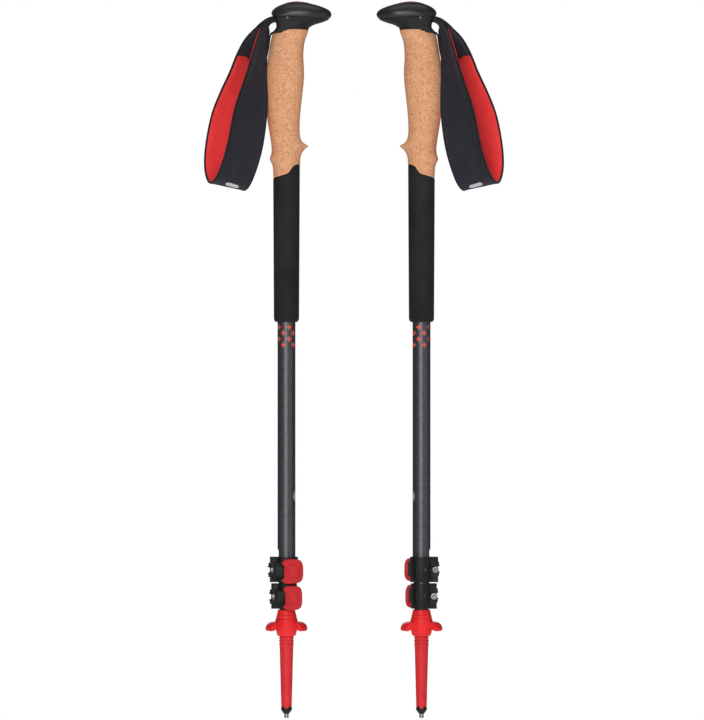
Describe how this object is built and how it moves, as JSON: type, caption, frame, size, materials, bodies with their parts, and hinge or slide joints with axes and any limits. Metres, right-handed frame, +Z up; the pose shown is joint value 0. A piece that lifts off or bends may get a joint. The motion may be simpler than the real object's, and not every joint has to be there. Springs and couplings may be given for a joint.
{
  "type": "trekking pole pair",
  "caption": "Pair of telescopic trekking poles with cork grips, padded wrist straps, flip-lever clamps and push-on baskets, collapsed.",
  "frame": {"origin": "middle of the palm on the left pole's axis, at the mount left_hand", "axes": "+Z up along the poles towards the grip heads; +X from the left pole to the right pole; +Y away from the clamps' levers on the left pole"},
  "size_m": [0.2704, 0.0664, 0.6419],
  "materials": {
    "black_plastic": "satin",
    "red_plastic": "satin",
    "red_rubber": "satin",
    "cork": "matt",
    "foam": "matt",
    "webbing": "matt",
    "red_fabric": "matt",
    "grey_alloy": "satin",
    "steel": "brushed",
    "carbide": "ground"
  },
  "bodies": {
    "left_grip": {"left_grip_head": "black_plastic", "left_head_inlay": "red_plastic", "left_strap_wedge": "black_plastic", "left_strap_pin": "steel", "left_strap_root": "webbing", "left_grip_core": "black_plastic", "left_cork_grip": "cork", "left_foam_sleeve": "foam", "left_upper_tube": "grey_alloy", "left_upper_collar": "black_plastic", "left_upper_barrel": "steel"},
    "left_strap": {"left_strap_webbing": "webbing", "left_strap_band": "webbing", "left_strap_lining": "red_fabric"},
    "left_upper_lever": {"left_upper_lever": "black_plastic", "left_upper_lever_cover": "red_plastic"},
    "left_upper_bolt": {"left_upper_bolt": "steel"},
    "left_middle_bush": {"left_middle_bush": "black_plastic"},
    "left_middle": {"left_middle_tube": "grey_alloy", "left_lower_collar": "black_plastic", "left_lower_barrel": "steel"},
    "left_lower_lever": {"left_lower_lever": "black_plastic", "left_lower_lever_cover": "red_plastic"},
    "left_lower_bolt": {"left_lower_bolt": "steel"},
    "left_lower_bush": {"left_lower_bush": "black_plastic"},
    "left_lower": {"left_lower_tube": "grey_alloy", "left_flex_tip": "red_rubber", "left_tip_collar": "black_plastic", "left_carbide_tip": "carbide"},
    "left_basket": {"left_basket": "red_rubber"},
    "right_grip": {"right_grip_head": "black_plastic", "right_head_inlay": "red_plastic", "right_strap_wedge": "black_plastic", "right_strap_pin": "steel", "right_strap_root": "webbing", "right_grip_core": "black_plastic", "right_cork_grip": "cork", "right_foam_sleeve": "foam", "right_upper_tube": "grey_alloy", "right_upper_collar": "black_plastic", "right_upper_barrel": "steel"},
    "right_strap": {"right_strap_webbing": "webbing", "right_strap_band": "webbing", "right_strap_lining": "red_fabric"},
    "right_upper_lever": {"right_upper_lever": "black_plastic", "right_upper_lever_cover": "red_plastic"},
    "right_upper_bolt": {"right_upper_bolt": "steel"},
    "right_middle_bush": {"right_middle_bush": "black_plastic"},
    "right_middle": {"right_middle_tube": "grey_alloy", "right_lower_collar": "black_plastic", "right_lower_barrel": "steel"},
    "right_lower_lever": {"right_lower_lever": "black_plastic", "right_lower_lever_cover": "red_plastic"},
    "right_lower_bolt": {"right_lower_bolt": "steel"},
    "right_lower_bush": {"right_lower_bush": "black_plastic"},
    "right_lower": {"right_lower_tube": "grey_alloy", "right_flex_tip": "red_rubber", "right_tip_collar": "black_plastic", "right_carbide_tip": "carbide"},
    "right_basket": {"right_basket": "red_rubber"}
  },
  "joints": [
    {"name": "left_strap_swing", "type": "hinge", "parent": "left_grip", "child": "left_strap", "pos_m": [-0.0122, 0, 0.0728], "axis": [0, 1, 0], "range_deg": [0, 60]},
    {"name": "left_upper_lever_turn", "type": "hinge", "parent": "left_grip", "child": "left_upper_lever", "pos_m": [-0.0124, -0.0105, -0.42055], "axis": [0, 0, -1], "range_deg": [0, 140]},
    {"name": "left_upper_bolt_turn", "type": "hinge", "parent": "left_grip", "child": "left_upper_bolt", "pos_m": [-0.0124, 0, -0.42055], "axis": [0, -1, 0], "range_deg": [-180, 180]},
    {"name": "left_middle_slide", "type": "slide", "parent": "left_grip", "child": "left_middle_bush", "axis": [0, 0, -1], "range_m": [0, 0.38]},
    {"name": "left_middle_swivel", "type": "hinge", "parent": "left_middle_bush", "child": "left_middle", "pos_m": [0, 0, 0.02], "axis": [0, 0, 1], "continuous": true},
    {"name": "left_lower_lever_turn", "type": "hinge", "parent": "left_middle", "child": "left_lower_lever", "pos_m": [-0.0112, -0.0097, -0.4444], "axis": [0, 0, -1], "range_deg": [0, 140]},
    {"name": "left_lower_bolt_turn", "type": "hinge", "parent": "left_middle", "child": "left_lower_bolt", "pos_m": [-0.0112, 0, -0.4444], "axis": [0, -1, 0], "range_deg": [-180, 180]},
    {"name": "left_lower_slide", "type": "slide", "parent": "left_middle", "child": "left_lower_bush", "axis": [0, 0, -1], "range_m": [0, 0.38]},
    {"name": "left_lower_swivel", "type": "hinge", "parent": "left_lower_bush", "child": "left_lower", "pos_m": [0, 0, -0.01], "axis": [0, 0, 1], "continuous": true},
    {"name": "left_basket_off", "type": "slide", "parent": "left_lower", "child": "left_basket", "axis": [0, 0, -1], "range_m": [0, 0.1]},
    {"name": "pole_spacing", "type": "slide", "parent": "left_grip", "child": "right_grip", "axis": [1, 0, 0], "range_m": [0, 0.25]},
    {"name": "right_strap_swing", "type": "hinge", "parent": "right_grip", "child": "right_strap", "pos_m": [0.1332, 0, 0.0728], "axis": [0, -1, 0], "range_deg": [0, 60]},
    {"name": "right_upper_lever_turn", "type": "hinge", "parent": "right_grip", "child": "right_upper_lever", "pos_m": [0.1334, 0.0105, -0.42055], "axis": [0, 0, -1], "range_deg": [0, 140]},
    {"name": "right_upper_bolt_turn", "type": "hinge", "parent": "right_grip", "child": "right_upper_bolt", "pos_m": [0.1334, 0, -0.42055], "axis": [0, 1, 0], "range_deg": [-180, 180]},
    {"name": "right_middle_slide", "type": "slide", "parent": "right_grip", "child": "right_middle_bush", "axis": [0, 0, -1], "range_m": [0, 0.38]},
    {"name": "right_middle_swivel", "type": "hinge", "parent": "right_middle_bush", "child": "right_middle", "pos_m": [0.121, 0, 0.02], "axis": [0, 0, 1], "continuous": true},
    {"name": "right_lower_lever_turn", "type": "hinge", "parent": "right_middle", "child": "right_lower_lever", "pos_m": [0.1322, 0.0097, -0.4444], "axis": [0, 0, -1], "range_deg": [0, 140]},
    {"name": "right_lower_bolt_turn", "type": "hinge", "parent": "right_middle", "child": "right_lower_bolt", "pos_m": [0.1322, 0, -0.4444], "axis": [0, 1, 0], "range_deg": [-180, 180]},
    {"name": "right_lower_slide", "type": "slide", "parent": "right_middle", "child": "right_lower_bush", "axis": [0, 0, -1], "range_m": [0, 0.38]},
    {"name": "right_lower_swivel", "type": "hinge", "parent": "right_lower_bush", "child": "right_lower", "pos_m": [0.121, 0, -0.01], "axis": [0, 0, 1], "continuous": true},
    {"name": "right_basket_off", "type": "slide", "parent": "right_lower", "child": "right_basket", "axis": [0, 0, -1], "range_m": [0, 0.1]}
  ]
}
